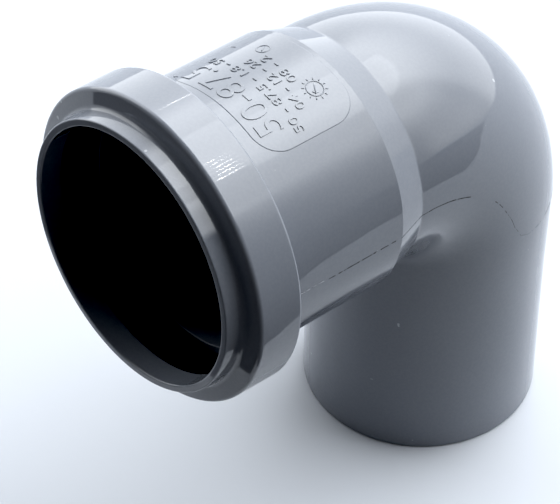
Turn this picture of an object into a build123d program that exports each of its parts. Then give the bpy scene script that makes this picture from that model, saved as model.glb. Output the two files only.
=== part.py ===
from build123d import *
import math
import os

# A push-fit pipe elbow of size 50: one moulded body, with a plain spigot on one leg and a
# ring-seal socket on the other, and the rubber lip seal that sits in the socket's groove.
#
# The elbow stands on its spigot. The origin is the centre of the spigot's end face, +Z runs
# up the spigot, and the socket's mouth faces -Y, tipped up by what the bend is short of a
# right angle. The plane X = 0 is the plane of symmetry.
#
# Along the socket every place is a distance from the corner, the point where the two pipe
# axes cross, measured along the socket's axis towards its mouth.

# ---- Driving dimensions, mm and degrees ----
pipe_radius = 25.0              # outside of the spigot, and of the pipe that the socket takes
bend_angle = 87.5
bend_radius = 25.8              # of the centreline
corner_height = 77.6            # the corner above the spigot's end

elbow_radius = 25.3             # outside of the bend, a little fuller than the spigot
passage_radius = 22.0           # of the spigot and the bend
spigot_straight = 36.0          # height up to which the spigot keeps the pipe's radius
spigot_edge = 0.6               # rounding of the spigot's outer edge
spigot_inner_edge = 0.4

cone_start = 27.1
cone_end = 34.2
cone_bore_start = 27.0          # the inner cone is the stop that the pipe's end meets
cone_start_rounding = 2.0
cone_end_rounding = 0.5

barrel_radius = 27.5
barrel_bore_radius = 25.4

collar_back = 64.1
collar_front = 74.2
collar_radius = 32.6
collar_back_rounding = 0.6
collar_front_rounding = 0.8
collar_root_rounding = 0.8

neck_back = 74.9
neck_back_radius = 28.6
neck_root_rounding = 1.0
mouth_end = 78.85
mouth_radius = 28.2
mouth_bore_radius = 26.7
mouth_rounding = 0.3

groove_back = 65.5
groove_front = 72.9
groove_mouth = 73.5
groove_radius = 30.9
groove_rounding = 0.5

# ---- Marking panel: a raised pad on the top of the barrel ----
panel_back = 35.2
panel_front = 58.6
panel_width = 30.2
panel_corner = 6.0
panel_rise = 0.15
panel_root = 0.5                # how far the pad reaches down into the barrel's wall

# ---- Seal, in the shape that a pipe pushed home holds it in ----
seal_play = 0.05                # between the seal and the groove's floor
seal_back = 66.4
seal_front = 72.6
heel_thickness = 0.9
lip_root = 71.2                 # where the lip leaves the heel
lip_tip = 67.9
lip_radius = 25.2               # clears a pipe at the bottom of its size range
lip_land = 0.8                  # length of the lip that touches the pipe
lip_thickness = 0.7
lip_rise = 2.3                  # from the lip's edge out to the front of the heel

# ---- Worked-out places ----
tangent_length = bend_radius * math.tan(math.radians(bend_angle / 2))
spigot_height = corner_height - tangent_length
tilt = math.radians(90 - bend_angle)

corner = Vector(0, 0, corner_height)
socket_direction = Vector(0, -math.cos(tilt), math.sin(tilt))
socket_axis = Axis(corner, socket_direction)
bend_axis = Axis((0, -bend_radius, spigot_height), (1, 0, 0))

# Half sections of the socket are drawn with x along the socket's axis and y away from it.
socket_section = Plane(corner, x_dir=socket_direction, z_dir=(-1, 0, 0))
# Half sections of the spigot are drawn with x away from its axis and y up.
spigot_section = Plane.XZ
# The marking panel is drawn from above the barrel: x towards the mouth, y across.
panel_view = Plane(corner, x_dir=socket_direction, z_dir=socket_section.y_dir)


# ---- Marking panel, as a pad that the body takes in ----
with BuildPart() as panel_pad:
    with BuildSketch(panel_view):
        with Locations(((panel_back + panel_front) / 2, 0)):
            RectangleRounded(panel_front - panel_back, panel_width, panel_corner)
    extrude(amount=barrel_radius + panel_rise)
    with BuildSketch(socket_section):
        with Locations((panel_back, barrel_radius - panel_root)):
            Rectangle(
                panel_front - panel_back,
                panel_root + panel_rise,
                align=(Align.MIN, Align.MIN),
            )
    revolve(axis=socket_axis, mode=Mode.INTERSECT)


# ---- Body ----
with BuildPart() as elbow_body:
    # Spigot: straight where the pipe's size matters, then fuller up to the bend.
    with BuildSketch(spigot_section):
        with BuildLine():
            Polyline(
                (0, 0),
                (pipe_radius, 0),
                (pipe_radius, spigot_straight),
                (elbow_radius, spigot_height),
                (0, spigot_height),
                close=True,
            )
        make_face()
    revolve(axis=Axis.Z)

    with BuildSketch(Plane.XY.offset(spigot_height)):
        Circle(elbow_radius)
    revolve(axis=bend_axis, revolution_arc=bend_angle)

    # Socket: cone, barrel, seal collar and neck.
    socket_corners = (
        # place along the axis, distance from it, rounding
        (tangent_length, 0, 0),
        (tangent_length, elbow_radius, 0),
        (cone_start, elbow_radius, cone_start_rounding),
        (cone_end, barrel_radius, cone_end_rounding),
        (collar_back, barrel_radius, collar_root_rounding),
        (collar_back, collar_radius, collar_back_rounding),
        (collar_front, collar_radius, collar_front_rounding),
        (neck_back, neck_back_radius, neck_root_rounding),
        (mouth_end, mouth_radius, 0),
        (mouth_end, 0, 0),
    )
    with BuildSketch(socket_section):
        with BuildLine():
            FilletPolyline(
                [(along, away) for along, away, _ in socket_corners],
                radius=[rounding for _, _, rounding in socket_corners],
                close=True,
            )
        make_face()
    revolve(axis=socket_axis)

    add(panel_pad.part)

    # Passage: up the spigot, round the bend and out of the socket.
    with BuildSketch(Plane.XY):
        Circle(passage_radius)
    extrude(amount=spigot_height, mode=Mode.SUBTRACT)

    with BuildSketch(Plane.XY.offset(spigot_height)):
        Circle(passage_radius)
    revolve(axis=bend_axis, revolution_arc=bend_angle, mode=Mode.SUBTRACT)

    passage_corners = (
        (tangent_length, 0, 0),
        (tangent_length, passage_radius, 0),
        (cone_bore_start, passage_radius, 0),
        (cone_end, barrel_bore_radius, 0),
        (groove_back, barrel_bore_radius, groove_rounding),
        (groove_back, groove_radius, groove_rounding),
        (groove_front, groove_radius, groove_rounding),
        (groove_mouth, mouth_bore_radius, groove_rounding),
        (mouth_end, mouth_bore_radius, 0),
        (mouth_end, 0, 0),
    )
    with BuildSketch(socket_section):
        with BuildLine():
            FilletPolyline(
                [(along, away) for along, away, _ in passage_corners],
                radius=[rounding for _, _, rounding in passage_corners],
                close=True,
            )
        make_face()
    revolve(axis=socket_axis, mode=Mode.SUBTRACT)

    # Rounded edges at the two ends.
    spigot_end = elbow_body.faces().sort_by(Axis.Z)[0]
    fillet(spigot_end.outer_wire().edges(), spigot_edge)
    spigot_end = elbow_body.faces().sort_by(Axis.Z)[0]
    fillet(spigot_end.inner_wires().edges(), spigot_inner_edge)
    mouth = elbow_body.faces().sort_by(socket_axis)[-1]
    fillet(mouth.edges(), mouth_rounding)

elbow_body.part.label = "elbow_body"


# ---- Seal: a heel that lines the groove and a lip that leans into the socket ----
with BuildPart() as seal_ring:
    seal_radius = groove_radius - seal_play
    seal_corners = (
        (seal_front, seal_radius, 0.3),
        (seal_back, seal_radius, 0.3),
        (seal_back, seal_radius - heel_thickness, 0.4),
        (lip_root, seal_radius - heel_thickness, 0.6),
        (lip_tip - lip_thickness, lip_radius + lip_thickness, 0.3),
        (lip_tip, lip_radius, 0.3),
        (lip_tip + lip_land, lip_radius, 1.2),
        (seal_front, lip_radius + lip_rise, 0.4),
    )
    with BuildSketch(socket_section):
        with BuildLine():
            FilletPolyline(
                [(along, away) for along, away, _ in seal_corners],
                radius=[rounding for _, _, rounding in seal_corners],
                close=True,
            )
        make_face()
    revolve(axis=socket_axis)

seal_ring.part.label = "seal_ring"


# ---- Export ----
os.makedirs("parts", exist_ok=True)
export_step(elbow_body.part, "parts/elbow_body.step")
export_step(seal_ring.part, "parts/seal_ring.step")
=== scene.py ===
import math

import bmesh
import bpy
from mathutils import Matrix, Vector, noise


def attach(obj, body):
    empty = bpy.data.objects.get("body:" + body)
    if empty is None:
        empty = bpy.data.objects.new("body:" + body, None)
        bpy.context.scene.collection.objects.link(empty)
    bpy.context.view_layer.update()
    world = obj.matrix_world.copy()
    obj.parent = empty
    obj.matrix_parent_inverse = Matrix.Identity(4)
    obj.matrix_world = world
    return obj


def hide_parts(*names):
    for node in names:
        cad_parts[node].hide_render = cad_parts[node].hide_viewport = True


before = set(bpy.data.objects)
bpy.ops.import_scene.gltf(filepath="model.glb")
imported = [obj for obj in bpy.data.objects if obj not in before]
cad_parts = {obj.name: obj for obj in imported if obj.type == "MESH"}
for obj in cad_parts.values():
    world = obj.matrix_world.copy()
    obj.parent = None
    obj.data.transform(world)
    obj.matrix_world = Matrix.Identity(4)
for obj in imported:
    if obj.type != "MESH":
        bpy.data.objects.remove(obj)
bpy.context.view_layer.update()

# A grey push-fit pipe elbow on a pale floor. The sizes below follow the CAD part's, in
# millimetres; collar and mouth stay a hair inside its box, and the marking panel is thinner.
# Places in the socket are distances from the corner where the two pipe axes cross, along the
# socket's axis; clock angles run from the top of the pipe towards +X.
MM = 0.001
BEND_ANGLE = math.radians(87.5)
BEND_RADIUS = 25.8
CORNER_HEIGHT = 77.6
TANGENT_LENGTH = BEND_RADIUS * math.tan(BEND_ANGLE / 2)
SPIGOT_HEIGHT = CORNER_HEIGHT - TANGENT_LENGTH
BEND_END = SPIGOT_HEIGHT + BEND_RADIUS * BEND_ANGLE

PIPE_RADIUS = 25.0
SPIGOT_STRAIGHT = 36.0
ELBOW_RADIUS = 25.3
PASSAGE_RADIUS = 22.0
CONE_START = 27.1
CONE_END = 34.2
CONE_BORE_START = 27.0
BARREL_RADIUS = 27.5
BARREL_BORE_RADIUS = 25.4
COLLAR_BACK = 64.1
COLLAR_FRONT = 74.2
COLLAR_RADIUS = 32.58
NECK_BACK = 74.9
NECK_BACK_RADIUS = 28.6
MOUTH_END = 78.83
MOUTH_RADIUS = 28.2
MOUTH_BORE_RADIUS = 26.7
GROOVE_BACK = 65.5
GROOVE_FRONT = 72.9
GROOVE_MOUTH = 73.5
GROOVE_RADIUS = 30.9

PANEL_BACK = 35.2
PANEL_FRONT = 58.6
PANEL_WIDTH = 30.2
PANEL_CORNER = 6.0
PANEL_RISE = 0.08

FLASH_CLOCK = 90.4              # clock angles, in degrees, where the mould's halves meet
HAIRLINE_CLOCK = 90.9
HAIRLINE_HEIGHT = 0.03

PLASTIC_DARK = (0.135, 0.146, 0.169)
PLASTIC_LIGHT = (0.147, 0.159, 0.184)
PLASTIC_GRAIN = (0.2, 0.21, 0.23)
DUST = (0.55, 0.56, 0.58)
# The hairline's colours: painted shade and dust on a near-black strip that lies almost flush on
# the skin.
SHADE_AND_GRIME_DARK = (0.006, 0.006, 0.007)
SHADE_AND_GRIME_LIGHT = (0.03, 0.032, 0.036)
RUBBER_DARK = (0.002, 0.002, 0.0021)
RUBBER_BLOOM = (0.004, 0.004, 0.0042)
FLOOR_DARK = (0.455, 0.475, 0.51)
FLOOR_LIGHT = (0.48, 0.5, 0.535)
# The mat's colour: a dark surround, and near the fitting painted shade seen in the plastic's
# reflections.
MAT_AND_SHADE_DARK = (0.03, 0.03, 0.032)
SKY_TINT = (0.93, 0.965, 1.0)


# ---- Pipe shapes ----
def socket_place(from_corner):
    """Distance along the pipe's centreline of a place in the socket."""
    return BEND_END + from_corner - TANGENT_LENGTH


def pipe_frame(along):
    """The centreline's point, and the direction of clock angle 0, at a distance along it."""
    turned = min(max(along - SPIGOT_HEIGHT, 0) / BEND_RADIUS, BEND_ANGLE)
    outward = Vector((0, math.cos(turned), math.sin(turned)))
    ahead = Vector((0, -math.sin(turned), math.cos(turned)))
    bend_centre = Vector((0, -BEND_RADIUS, SPIGOT_HEIGHT))
    straight = min(along, SPIGOT_HEIGHT) - SPIGOT_HEIGHT + max(along - BEND_END, 0)
    return bend_centre + BEND_RADIUS * outward + straight * ahead, outward


def on_pipe(along, away, clock):
    """A point at a distance along the pipe, a distance from its centreline and a clock angle."""
    centre, outward = pipe_frame(along)
    spoke = math.cos(clock) * outward + math.sin(clock) * Vector((1, 0, 0))
    return (centre + away * spoke) * MM


def rounded_outline(corners, arc_steps=6):
    """A closed outline of (along, away) points, its corners rounded by arcs."""
    outline = []
    for i, (along, away, rounding) in enumerate(corners):
        here = Vector((along, away))
        before = Vector(corners[i - 1][:2]) - here
        after = Vector(corners[(i + 1) % len(corners)][:2]) - here
        if rounding == 0:
            outline.append(here)
            continue
        half = before.angle(after) / 2
        bisector = (before.normalized() + after.normalized()).normalized()
        centre = here + bisector * rounding / math.sin(half)
        start = here + before.normalized() * rounding / math.tan(half) - centre
        end = here + after.normalized() * rounding / math.tan(half) - centre
        sweep = start.angle_signed(end)
        for step in range(arc_steps + 1):
            turn = Matrix.Rotation(-sweep * step / arc_steps, 2)
            outline.append(centre + turn @ start)
    return outline


def refined(outline, longest, guard=0.12):
    """The outline with its long stretches divided, and a guard point near each of their ends."""
    points = []
    for i, here in enumerate(outline):
        there = outline[(i + 1) % len(outline)]
        length = (there - here).length
        points.append(here)
        if length < 4 * guard:
            continue
        steps = max(1, math.ceil(length / longest))
        shares = {guard / length, 1 - guard / length}
        shares.update(k / steps for k in range(1, steps))
        points.extend(here.lerp(there, share) for share in sorted(shares))
    return points


def new_piece(name, points, faces):
    mesh = bpy.data.meshes.new(name)
    mesh.from_pydata(points, [], faces)
    mesh.shade_smooth()
    piece = bpy.data.objects.new(name, mesh)
    bpy.context.scene.collection.objects.link(piece)
    return piece


def tube_piece(name, outline, around):
    """A closed pipe-shaped piece: the outline carried round the pipe's centreline."""
    clocks = [math.tau * k / around for k in range(around)]
    points = [on_pipe(along, away, clock) for along, away in outline for clock in clocks]
    faces = []
    rings = len(outline)
    for i in range(rings):
        below, above = i * around, (i + 1) % rings * around
        for k in range(around):
            k_next = (k + 1) % around
            faces.append((below + k, above + k, above + k_next, below + k_next))
    return new_piece(name, points, faces)


BODY_CORNERS = (
    # along the pipe, away from its centreline, rounding
    (0, PIPE_RADIUS, 0.6),
    (SPIGOT_STRAIGHT, PIPE_RADIUS, 0),
    (SPIGOT_HEIGHT, ELBOW_RADIUS, 0),
    (socket_place(CONE_START), ELBOW_RADIUS, 2.0),
    (socket_place(CONE_END), BARREL_RADIUS, 0.5),
    (socket_place(COLLAR_BACK), BARREL_RADIUS, 0.8),
    (socket_place(COLLAR_BACK), COLLAR_RADIUS, 0.6),
    (socket_place(COLLAR_FRONT), COLLAR_RADIUS, 0.9),
    (socket_place(NECK_BACK), NECK_BACK_RADIUS, 1.0),
    (socket_place(MOUTH_END), MOUTH_RADIUS, 0.3),
    (socket_place(MOUTH_END), MOUTH_BORE_RADIUS, 0.3),
    (socket_place(GROOVE_MOUTH), MOUTH_BORE_RADIUS, 0.5),
    (socket_place(GROOVE_FRONT), GROOVE_RADIUS, 0.5),
    (socket_place(GROOVE_BACK), GROOVE_RADIUS, 0.5),
    (socket_place(GROOVE_BACK), BARREL_BORE_RADIUS, 0.15),
    (socket_place(CONE_END), BARREL_BORE_RADIUS, 0),
    (socket_place(CONE_BORE_START), PASSAGE_RADIUS, 0),
    (0, PASSAGE_RADIUS, 0.4),
)
BODY_OUTLINE = rounded_outline(BODY_CORNERS)
BODY_FACES_AROUND = 320


def make_body():
    return tube_piece("body", refined(BODY_OUTLINE, longest=1.3), around=BODY_FACES_AROUND)


def skin_radius(along):
    """The outside radius of the pipe, from the spigot to the barrel."""
    outside = [
        point for point in BODY_OUTLINE
        if point.x < socket_place(COLLAR_BACK) - 0.5 and point.y > PIPE_RADIUS - 0.1
    ]
    outside.sort(key=lambda point: point.x)
    before = outside[0]
    for point in outside:
        if point.x > along:
            share = (along - before.x) / (point.x - before.x)
            return before.y + share * (point.y - before.y)
        before = point
    return BARREL_RADIUS


# ---- Relief: ridges and pads that lie on the pipe's skin ----
# A ridge's section: across in half widths, up in heights.
RIDGE_SECTION = ((-1, -0.6), (-0.8, 0.35), (-0.35, 0.92), (0.35, 0.92), (0.8, 0.35), (1, -0.6))


def add_ridge(points, faces, path, closed=False):
    """A low rounded ridge along a path of (along, clock, half width, height, skin radius)."""
    first = len(points)
    count = len(path)
    wide = len(RIDGE_SECTION)
    for i, (along, clock, half_width, height, skin) in enumerate(path):
        if closed:
            before, after = path[i - 1], path[(i + 1) % count]
        else:
            before, after = path[max(i - 1, 0)], path[min(i + 1, count - 1)]
        ahead = Vector((after[0] - before[0], (after[1] - before[1]) * skin))
        if ahead.length < 1e-6:
            ahead = Vector((1, 0))
        ahead.normalize()
        for across, up in RIDGE_SECTION:
            points.append(on_pipe(
                along - ahead.y * across * half_width,
                skin + up * height,
                clock + ahead.x * across * half_width / skin,
            ))
    for i in range(count if closed else count - 1):
        here, there = first + i * wide, first + (i + 1) % count * wide
        for k in range(wide):
            k_next = (k + 1) % wide
            faces.append((here + k, here + k_next, there + k_next, there + k))
    if not closed:
        faces.append(tuple(first + k for k in reversed(range(wide))))
        faces.append(tuple(first + (count - 1) * wide + k for k in range(wide)))


def panel_edge(inset, arc_steps=16, side_steps=20):
    """The pad's outline, as (ahead, round) from its middle, moved in from its edge."""
    half_length = (PANEL_FRONT - PANEL_BACK) / 2
    half_width = BARREL_RADIUS * math.asin(PANEL_WIDTH / 2 / BARREL_RADIUS)
    edge = []
    for quarter in range(4):
        side = Vector((1 if quarter in (0, 3) else -1, 1 if quarter in (0, 1) else -1))
        centre = Vector((half_length - PANEL_CORNER, half_width - PANEL_CORNER)) * side
        for step in range(arc_steps + 1):
            turn = math.radians(90 * quarter + 90 * step / arc_steps)
            reach = PANEL_CORNER - inset
            edge.append(centre + reach * Vector((math.cos(turn), math.sin(turn))))
        arc_end = edge[-1]
        along_edge = Vector((-math.sin(turn), math.cos(turn)))
        span = half_width if quarter in (1, 3) else half_length
        length = 2 * (span - PANEL_CORNER)
        for step in range(1, side_steps):
            edge.append(arc_end + along_edge * length * step / side_steps)
    return edge


def make_panel(flat_inset=0.24, fill_rings=12):
    """The raised pad: rings from its foot on the barrel, over its edge and in to its middle."""
    middle = (PANEL_BACK + PANEL_FRONT) / 2
    rows = [
        # inset from the edge, height above the barrel, share of the way out from the middle
        (-0.02, -0.3, 1),
        (0.0, -0.02, 1),
        (0.05, 0.03, 1),
        (0.1, 0.06, 1),
        (0.16, PANEL_RISE, 1),
        (flat_inset, PANEL_RISE, 1),
    ]
    rows += [(flat_inset, PANEL_RISE, 1 - step / fill_rings) for step in range(1, fill_rings)]
    points, faces = [], []
    for inset, height, share in rows:
        for ahead, around in panel_edge(inset):
            points.append(on_pipe(
                socket_place(middle + ahead * share),
                BARREL_RADIUS + height,
                around * share / BARREL_RADIUS,
            ))
    count = len(panel_edge(0))
    points.append(on_pipe(socket_place(middle), BARREL_RADIUS + PANEL_RISE, 0))
    for i in range(len(rows) - 1):
        for k in range(count):
            k_next = (k + 1) % count
            faces.append((
                i * count + k, (i + 1) * count + k, (i + 1) * count + k_next, i * count + k_next,
            ))
    last = (len(rows) - 1) * count
    for k in range(count):
        faces.append((last + k, len(points) - 1, last + (k + 1) % count))
    return new_piece("marking_panel", points, faces)


def raised_numbers(name, words, foot, top, clock_start, clock_end, height, bolder, root=0.1):
    """Numbers in relief, flat on top, with their walls' feet sunk by root into the pad."""
    curve = bpy.data.curves.new(name, "FONT")
    curve.body = words
    curve.resolution_u = 5
    curve.offset = bolder
    curve.extrude = 0.01
    drawing = bpy.data.objects.new(name, curve)
    bpy.context.scene.collection.objects.link(drawing)
    bpy.context.view_layer.update()
    mesh = bpy.data.meshes.new_from_object(
        drawing.evaluated_get(bpy.context.evaluated_depsgraph_get())
    )
    bpy.data.objects.remove(drawing)
    bpy.data.curves.remove(curve)
    low = [min(vertex.co[k] for vertex in mesh.vertices) for k in (0, 1)]
    high = [max(vertex.co[k] for vertex in mesh.vertices) for k in (0, 1)]
    shape = bmesh.new()
    shape.from_mesh(mesh)
    bmesh.ops.remove_doubles(shape, verts=shape.verts, dist=1e-5)
    # Edges short enough, at 1.2 mm, to follow the barrel's curve.
    longest = 1.2 * (high[1] - low[1]) / (top - foot)
    for _ in range(3):
        long_edges = [edge for edge in shape.edges if edge.calc_length() > longest]
        bmesh.ops.subdivide_edges(shape, edges=long_edges, cuts=1)
        bmesh.ops.triangulate(shape, faces=shape.faces)
    for vertex in shape.verts:
        x, y, z = vertex.co
        ahead = (y - low[1]) / (high[1] - low[1])
        across = (x - low[0]) / (high[0] - low[0])
        vertex.co = on_pipe(
            socket_place(foot + (top - foot) * ahead),
            BARREL_RADIUS + PANEL_RISE + (height if z > 0 else -root),
            math.radians(clock_start + (clock_end - clock_start) * across),
        )
    shape.to_mesh(mesh)
    shape.free()
    mesh.name = name
    piece = bpy.data.objects.new(name, mesh)
    bpy.context.scene.collection.objects.link(piece)
    bevel = piece.modifiers.new("soft_edges", "BEVEL")
    bevel.width = 0.05 * MM
    bevel.segments = 1
    bevel.limit_method = "ANGLE"
    return piece


def make_dials():
    """A date dial with its arrow and ring of ticks, a small round mark, and two dashes."""
    skin = BARREL_RADIUS + PANEL_RISE
    points, faces = [], []

    def stroke(centre, marks, half_width=0.14, height=0.12, closed=False):
        along, clock = centre
        middle = math.radians(clock)
        path = [
            (socket_place(along + ahead), middle + across / skin, half_width, height, skin)
            for across, ahead in marks
        ]
        add_ridge(points, faces, path, closed)

    def ring(centre, radius, half_width=0.13):
        turns = [math.tau * k / 40 for k in range(40)]
        stroke(
            centre, [(radius * math.cos(t), radius * math.sin(t)) for t in turns], half_width,
            closed=True,
        )

    # Places are (along the socket, clock in degrees); marks are (across, ahead) from there.
    dial = (40.7, 16)
    ring(dial, 1.75)
    for k in range(12):
        turn = math.tau * k / 12
        stroke(dial, [
            (radius * math.cos(turn), radius * math.sin(turn)) for radius in (2.1, 2.35, 2.6)
        ], 0.12)
    stroke(dial, [(-1.0, -0.6), (0, 0), (1.0, 0.6)], 0.14)
    stroke(dial, [(0.35, 0.9), (1.0, 0.6), (0.95, -0.1)], 0.12)
    mark = (40.7, -15)
    ring(mark, 1.35)
    stroke(mark, [(-0.5, -0.8), (0, 0), (0.5, 0.8)], 0.12)
    for along, clock in ((57.0, -28.5), (42.6, -29.0)):
        stroke((along, clock), [(-0.7, 0), (0, 0), (0.7, 0)], 0.16)
    return new_piece("date_dial", points, faces)


def line_path(route):
    """Points along a route of (along, clock in degrees), close together."""
    for a, b in zip(route, route[1:]):
        span = math.hypot(b[0] - a[0], math.radians(b[1] - a[1]) * ELBOW_RADIUS)
        steps = max(2, round(span / 0.2))
        for k in range(steps):
            share = k / steps
            yield a[0] + (b[0] - a[0]) * share, math.radians(a[1] + (b[1] - a[1]) * share)


def add_mould_line(points, faces, route, half_width, height, breaks):
    """One stretch of the line that the mould's halves leave, uneven and in places broken."""
    path = []
    for along, clock in line_path(route):
        seed = Vector((along * 0.9, math.degrees(clock) * 0.9, 3.1))
        rough = noise.noise(seed) + 0.5 * noise.noise(seed * 3.1)
        if rough < breaks:
            if len(path) > 2:
                add_ridge(points, faces, path)
            path = []
            continue
        wander = 0.06 * noise.noise(Vector((along * 0.35, 1.7, clock)))
        skin = skin_radius(along)
        swell = 0.7 + 0.8 * max(rough, 0)
        path.append((along, clock + wander / skin, half_width * swell, height * swell, skin))
    if len(path) > 2:
        add_ridge(points, faces, path)


def make_mould_flash():
    """Raised flash on both sides of the barrel, by the collar, and a nick of it near the cone."""
    points, faces = [], []
    for side in (1, -1):
        line = FLASH_CLOCK * side
        for start, end, half_width, height, breaks in (
            # from and to in the socket; the lower the last number, the fewer the breaks
            (59.0, 64.0, 0.09, 0.14, -0.6),
            (54.0, 59.0, 0.08, 0.11, -0.35),
            (40.6, 41.3, 0.14, 0.16, -2.0),
            (27.5, 34.4, 0.05, 0.05, -0.4),
        ):
            route = [(socket_place(start), line), (socket_place(end), line)]
            add_mould_line(points, faces, route, half_width, height, breaks)
    return new_piece("mould_flash", points, faces)


def make_mould_line():
    """The darker hairline between the mould's halves, along the sides and round the back; its
    dark is painted shade and dust.
    """
    points, faces = [], []
    for side in (1, -1):
        line = HAIRLINE_CLOCK * side
        for start, end, half_width, breaks in (
            (socket_place(42.0), socket_place(53.5), 0.16, -0.3),
            (socket_place(41.0), socket_place(41.9), 0.26, -2.0),
            (socket_place(35.0), socket_place(40.0), 0.16, -0.15),
            (socket_place(25.5), socket_place(34.6), 0.11, -0.7),
            (SPIGOT_HEIGHT + 28, socket_place(25.5), 0.16, -0.5),
            (SPIGOT_HEIGHT + 12, SPIGOT_HEIGHT + 19, 0.1, -0.2),
        ):
            route = [(start, line), (end, line)]
            add_mould_line(points, faces, route, half_width, HAIRLINE_HEIGHT, breaks)
        # From the side of the bend down to the spigot's top, and on round its back.
        add_mould_line(points, faces, [
            (SPIGOT_HEIGHT + 12, line),
            (SPIGOT_HEIGHT + 6, line * 0.985),
            (SPIGOT_HEIGHT + 2.4, line * 0.95),
            (SPIGOT_HEIGHT + 1.1, line * 0.89),
            (SPIGOT_HEIGHT + 0.8, line * 0.8),
            (SPIGOT_HEIGHT + 0.8, 0),
        ], 0.05, HAIRLINE_HEIGHT, -0.25)
    return new_piece("mould_line", points, faces)


# ---- Materials ----
def material_nodes(name):
    material = bpy.data.materials.new(name)
    material.use_nodes = True
    nodes = material.node_tree.nodes
    return material, nodes, material.node_tree.links, nodes["Principled BSDF"]


def noise_of(nodes, links, place, scale, detail=2.0, stretch=(1, 1, 1)):
    """Noise at a scale in features per millimetre, on the object's own coordinates."""
    mapping = nodes.new("ShaderNodeMapping")
    mapping.inputs["Scale"].default_value = [scale * k / MM for k in stretch]
    links.new(place.outputs["Object"], mapping.inputs["Vector"])
    texture = nodes.new("ShaderNodeTexNoise")
    texture.inputs["Scale"].default_value = 1.0
    texture.inputs["Detail"].default_value = detail
    links.new(mapping.outputs["Vector"], texture.inputs["Vector"])
    return texture.outputs["Fac"]


def ranged(nodes, links, value, low, high, new_low, new_high):
    node = nodes.new("ShaderNodeMapRange")
    node.interpolation_type = "SMOOTHSTEP"
    for name, number in (
        ("From Min", low), ("From Max", high), ("To Min", new_low), ("To Max", new_high),
    ):
        node.inputs[name].default_value = number
    links.new(value, node.inputs["Value"])
    return node.outputs["Result"]


def summed(nodes, links, first, second, operation="ADD"):
    node = nodes.new("ShaderNodeMath")
    node.operation = operation
    links.new(first, node.inputs[0])
    links.new(second, node.inputs[1])
    return node.outputs["Value"]


def mixed(nodes, links, share, first, second):
    node = nodes.new("ShaderNodeMix")
    node.data_type = "RGBA"
    links.new(share, node.inputs["Factor"])
    for socket, colour in ((node.inputs[6], first), (node.inputs[7], second)):
        if isinstance(colour, tuple):
            socket.default_value = (*colour, 1)
        else:
            links.new(colour, socket)
    return node.outputs[2]


def grey_plastic():
    """Glossy moulded plastic: faint flow mottling, long ripples, scuffs, scratches and dust."""
    material, nodes, links, shader = material_nodes("moulded_plastic")
    place = nodes.new("ShaderNodeTexCoord")
    mottle = noise_of(nodes, links, place, 0.06, detail=3)
    speckle = noise_of(nodes, links, place, 1.7, detail=1)
    dust = ranged(nodes, links, noise_of(nodes, links, place, 0.75, detail=0), 0.88, 0.9, 0, 0.4)
    base = mixed(nodes, links, mottle, PLASTIC_DARK, PLASTIC_LIGHT)
    grain = ranged(nodes, links, speckle, 0.35, 0.65, 0, 0.12)
    shade = mixed(nodes, links, grain, base, PLASTIC_GRAIN)
    dusted = mixed(nodes, links, dust, shade, DUST)
    links.new(dusted, shader.inputs["Base Color"])
    scuffs = ranged(
        nodes, links, noise_of(nodes, links, place, 0.12, detail=4), 0.35, 0.75, 0.03, 0.055
    )
    links.new(scuffs, shader.inputs["Roughness"])
    ripple = nodes.new("ShaderNodeBump")
    ripple.inputs["Strength"].default_value = 0.2
    ripple.inputs["Distance"].default_value = 0.05 * MM
    links.new(noise_of(nodes, links, place, 0.16, detail=2), ripple.inputs["Height"])
    skin = nodes.new("ShaderNodeBump")
    skin.inputs["Strength"].default_value = 0.25
    skin.inputs["Distance"].default_value = 0.002 * MM
    fine = noise_of(nodes, links, place, 2.6, detail=2)
    scratches = noise_of(nodes, links, place, 1.0, detail=2, stretch=(5, 0.12, 5))
    links.new(summed(nodes, links, fine, scratches), skin.inputs["Height"])
    links.new(ripple.outputs["Normal"], skin.inputs["Normal"])
    links.new(skin.outputs["Normal"], shader.inputs["Normal"])
    return material


def hairline_shade_and_grime():
    """Painted shade and dust along a fine line, lighter where it's worn."""
    material, nodes, links, shader = material_nodes("hairline_shade_and_grime")
    place = nodes.new("ShaderNodeTexCoord")
    worn = ranged(nodes, links, noise_of(nodes, links, place, 0.5, detail=3), 0.35, 0.7, 0, 1)
    links.new(mixed(nodes, links, worn, SHADE_AND_GRIME_DARK, SHADE_AND_GRIME_LIGHT), shader.inputs["Base Color"])
    rough = ranged(nodes, links, noise_of(nodes, links, place, 1.5, detail=2), 0.3, 0.7, 0.5, 0.8)
    links.new(rough, shader.inputs["Roughness"])
    shader.inputs["Specular IOR Level"].default_value = 0.15
    return material


def black_rubber():
    """Moulded rubber: matt, finely pitted, with a trace of grey bloom."""
    material, nodes, links, shader = material_nodes("black_rubber")
    place = nodes.new("ShaderNodeTexCoord")
    bloom = ranged(nodes, links, noise_of(nodes, links, place, 0.25, detail=4), 0.45, 0.75, 0, 1)
    links.new(mixed(nodes, links, bloom, RUBBER_DARK, RUBBER_BLOOM), shader.inputs["Base Color"])
    rough = ranged(nodes, links, noise_of(nodes, links, place, 0.8, detail=3), 0.3, 0.7, 0.7, 0.9)
    links.new(rough, shader.inputs["Roughness"])
    shader.inputs["Specular IOR Level"].default_value = 0.12
    pits = nodes.new("ShaderNodeBump")
    pits.inputs["Strength"].default_value = 0.2
    pits.inputs["Distance"].default_value = 0.02 * MM
    links.new(noise_of(nodes, links, place, 3.0, detail=2), pits.inputs["Height"])
    links.new(pits.outputs["Normal"], shader.inputs["Normal"])
    return material


# ---- Camera ----
CAMERA_AZIMUTH = math.radians(48.26)      # from -Y towards +X
CAMERA_ELEVATION = math.radians(43.90)
CAMERA_ROLL = math.radians(0.90)
CAMERA_TARGET = Vector((9.34, -49.09, 70.81))
CAMERA_DISTANCE = 600.0
CAMERA_LENS = 200.47


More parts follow.
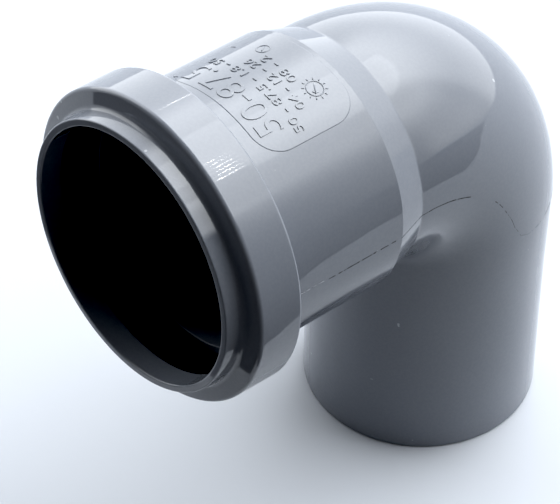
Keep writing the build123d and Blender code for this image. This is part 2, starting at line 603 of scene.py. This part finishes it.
def add_camera():
    level = math.cos(CAMERA_ELEVATION)
    backward = Vector((
        level * math.sin(CAMERA_AZIMUTH),
        -level * math.cos(CAMERA_AZIMUTH),
        math.sin(CAMERA_ELEVATION),
    ))
    right = Vector((0, 0, 1)).cross(backward).normalized()
    right = Matrix.Rotation(CAMERA_ROLL, 3, backward) @ right
    up = backward.cross(right)
    turn = Matrix((right, up, backward)).transposed().to_4x4()
    place = (CAMERA_TARGET + CAMERA_DISTANCE * backward) * MM
    camera = bpy.data.objects.new("camera", bpy.data.cameras.new("camera"))
    camera.data.lens = CAMERA_LENS
    camera.data.sensor_width = 36
    camera.data.clip_end = 20
    camera.matrix_world = Matrix.Translation(place) @ turn
    bpy.context.scene.collection.objects.link(camera)
    bpy.context.scene.camera = camera


# ---- Floor and light ----
def flat_piece(name, corners, height, material):
    mesh = bpy.data.meshes.new(name)
    mesh.from_pydata([(x, y, height) for x, y in corners], [], [tuple(range(len(corners)))])
    mesh.materials.append(material)
    piece = bpy.data.objects.new(name, mesh)
    bpy.context.scene.collection.objects.link(piece)
    return piece


def add_floor(reach=3.0):
    material, nodes, links, shader = material_nodes("floor")
    place = nodes.new("ShaderNodeTexCoord")
    cloud = noise_of(nodes, links, place, 0.004, detail=2)
    links.new(mixed(nodes, links, cloud, FLOOR_DARK, FLOOR_LIGHT), shader.inputs["Base Color"])
    shader.inputs["Roughness"].default_value = 0.7
    corners = [(-reach, -reach), (reach, -reach), (reach, reach), (-reach, reach)]
    flat_piece("floor", corners, 0, material)


def add_dark_mat_and_painted_shade(reach=3.0):
    """Dark beyond the pale sheet's front and right edges, seen only in the plastic; near the
    fitting it is painted shade, standing in for the fitting's own shadow on the floor. In metres.
    """
    material, nodes, links, shader = material_nodes("dark_mat_and_painted_shade")
    shader.inputs["Base Color"].default_value = (*MAT_AND_SHADE_DARK, 1)
    shader.inputs["Roughness"].default_value = 0.9
    # The corners nearest the fitting bring the dark in where the fitting's shadow lies on the
    # floor: painted shade in the reflections.
    corners = [
        (reach, -reach), (reach, 1.436), (0.843, 1.436), (0.366, 0.452),
        (0.262, 0.286), (0.156, 0.108), (0.172, 0.062), (0.15, 0.03), (0.085, -0.02),
        (0.066, -0.04), (0.06, -0.13), (-0.1, -0.13), (-0.5, -0.5), (-0.5, -reach),
    ]
    mat = flat_piece("dark_mat_and_painted_shade", corners, 1 * MM, material)
    mat.visible_camera = False


# Soft lights of the studio, as parts of the sky dome. Angles are in degrees; bearings run
# from straight behind the fitting, positive towards +X.
DOME = (
    # bearing, half width, soft edge, elevation, half height, soft edge, strength
    (-50, 60, 22, 15, 28, 22, 3.4),         # the back wall
    (3, 40, 20, 66, 8, 42, 6.8),            # a large soft light over the back
    (6, 26, 1.5, 60, 12, 2, 1.8),           # its brighter middle, with crisp edges
    (40, 8, 14, 18, 14, 14, 2.2),           # low light on the right
    (62, 8, 7, 47, 9, 7, 4.2),              # high light on the right
    (0, 180, 1, 0, 90, 1, 0.08),            # a trace of light all round
)
CEILING_DARK = (68, 80)         # the elevations between which the dome's light dies away

# Two strips of small lamps at the soft light's edges, seen as fine streaks in the collar. They
# lie on a sphere about the collar's top, and fade from the first to the last.
LAMP_STRIPS = (
    # direction of the first, direction it runs towards, number, spacing in degrees, power
    (Vector((0.341, 0.541, 0.769)), Vector((0.0, 0.525, 0.851)), 6, 2.3, 0.3),
    (Vector((-0.585, 0.528, 0.616)), Vector((-0.565, 0.55, 0.616)), 4, 0.4, 0.1),
)
LAMPS_ABOUT = Vector((15, -69, 110))
LAMP_AWAY = 3000.0
LAMP_FADE = 0.7
LAMP_SIZE = 4.0                 # radius


def add_dome():
    world = bpy.data.worlds.new("studio")
    world.use_nodes = True
    bpy.context.scene.world = world
    nodes, links = world.node_tree.nodes, world.node_tree.links
    background = nodes["Background"]
    background.inputs["Color"].default_value = (*SKY_TINT, 1)
    place = nodes.new("ShaderNodeTexCoord")
    split = nodes.new("ShaderNodeSeparateXYZ")
    links.new(place.outputs["Generated"], split.inputs["Vector"])
    bearing = summed(nodes, links, split.outputs["X"], split.outputs["Y"], "ARCTAN2")
    elevation = nodes.new("ShaderNodeMath")
    elevation.operation = "ARCSINE"
    links.new(split.outputs["Z"], elevation.inputs[0])
    total = None
    for patch in DOME:
        lit = None
        for angle, (centre, half, soft) in (
            (bearing, patch[:3]),
            (elevation.outputs["Value"], patch[3:6]),
        ):
            off = nodes.new("ShaderNodeMath")
            off.operation = "SUBTRACT"
            links.new(angle, off.inputs[0])
            off.inputs[1].default_value = math.radians(centre)
            away = nodes.new("ShaderNodeMath")
            away.operation = "ABSOLUTE"
            links.new(off.outputs["Value"], away.inputs[0])
            edge = ranged(
                nodes, links, away.outputs["Value"],
                math.radians(half), math.radians(half + soft), 1.0, 0.0,
            )
            lit = edge if lit is None else summed(nodes, links, lit, edge, "MULTIPLY")
        scaled = nodes.new("ShaderNodeMath")
        scaled.operation = "MULTIPLY"
        links.new(lit, scaled.inputs[0])
        scaled.inputs[1].default_value = patch[6]
        total = scaled.outputs["Value"] if total is None else summed(
            nodes, links, total, scaled.outputs["Value"]
        )
    below = ranged(
        nodes, links, elevation.outputs["Value"], *map(math.radians, CEILING_DARK), 1.0, 0.0
    )
    total = summed(nodes, links, total, below, "MULTIPLY")
    links.new(total, background.inputs["Strength"])


def add_lamp_strips():
    for first, towards, count, spacing, power in LAMP_STRIPS:
        first = first.normalized()
        across = (towards - towards.dot(first) * first).normalized()
        for k in range(count):
            turn = math.radians(spacing * k)
            direction = math.cos(turn) * first + math.sin(turn) * across
            lamp = bpy.data.objects.new("strip_lamp", bpy.data.lights.new("strip_lamp", "POINT"))
            lamp.data.energy = power * (1 - LAMP_FADE * k / count)
            lamp.data.shadow_soft_size = LAMP_SIZE * MM
            lamp.location = (LAMPS_ABOUT + LAMP_AWAY * direction) * MM
            bpy.context.scene.collection.objects.link(lamp)


def set_tone(black_level=0.01):
    """Plain tones, with the deepest shadows let go to black."""
    view = bpy.context.scene.view_settings
    view.view_transform = "Standard"
    view.use_curve_mapping = True
    view.curve_mapping.black_level = (black_level, black_level, black_level)
    view.curve_mapping.update()


def add_to_body(piece, material):
    piece.data.materials.clear()
    piece.data.materials.append(material)
    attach(piece, "root")


NUMBERS = (
    # name, words, foot and top along the socket, clock where it starts and ends, height, bolder
    ("size_numbers", "50-87.5", 51.25, 57.0, 24.5, -26.0, 0.15, -0.004),
    ("numbers_first_line", "50 - 87.5 - 1.8 - 50", 48.0, 50.0, 29.0, -27.0, 0.17, 0.004),
    ("numbers_second_line", "04 - 12 - 26", 44.7, 46.7, 21.0, -13.0, 0.17, 0.004),
    ("numbers_third_line", "08 - 2", 41.9, 43.9, 9.0, -10.0, 0.17, 0.004),
)

plastic = grey_plastic()
body = make_body()
add_to_body(body, plastic)
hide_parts("elbow_body")
add_to_body(make_panel(), plastic)
for line in NUMBERS:
    add_to_body(raised_numbers(*line), plastic)
add_to_body(make_dials(), plastic)
add_to_body(make_mould_flash(), plastic)
add_to_body(make_mould_line(), hairline_shade_and_grime())
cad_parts["seal_ring"].material_slots[0].material = black_rubber()

add_camera()
add_floor()
add_dark_mat_and_painted_shade()
add_dome()
add_lamp_strips()
set_tone()
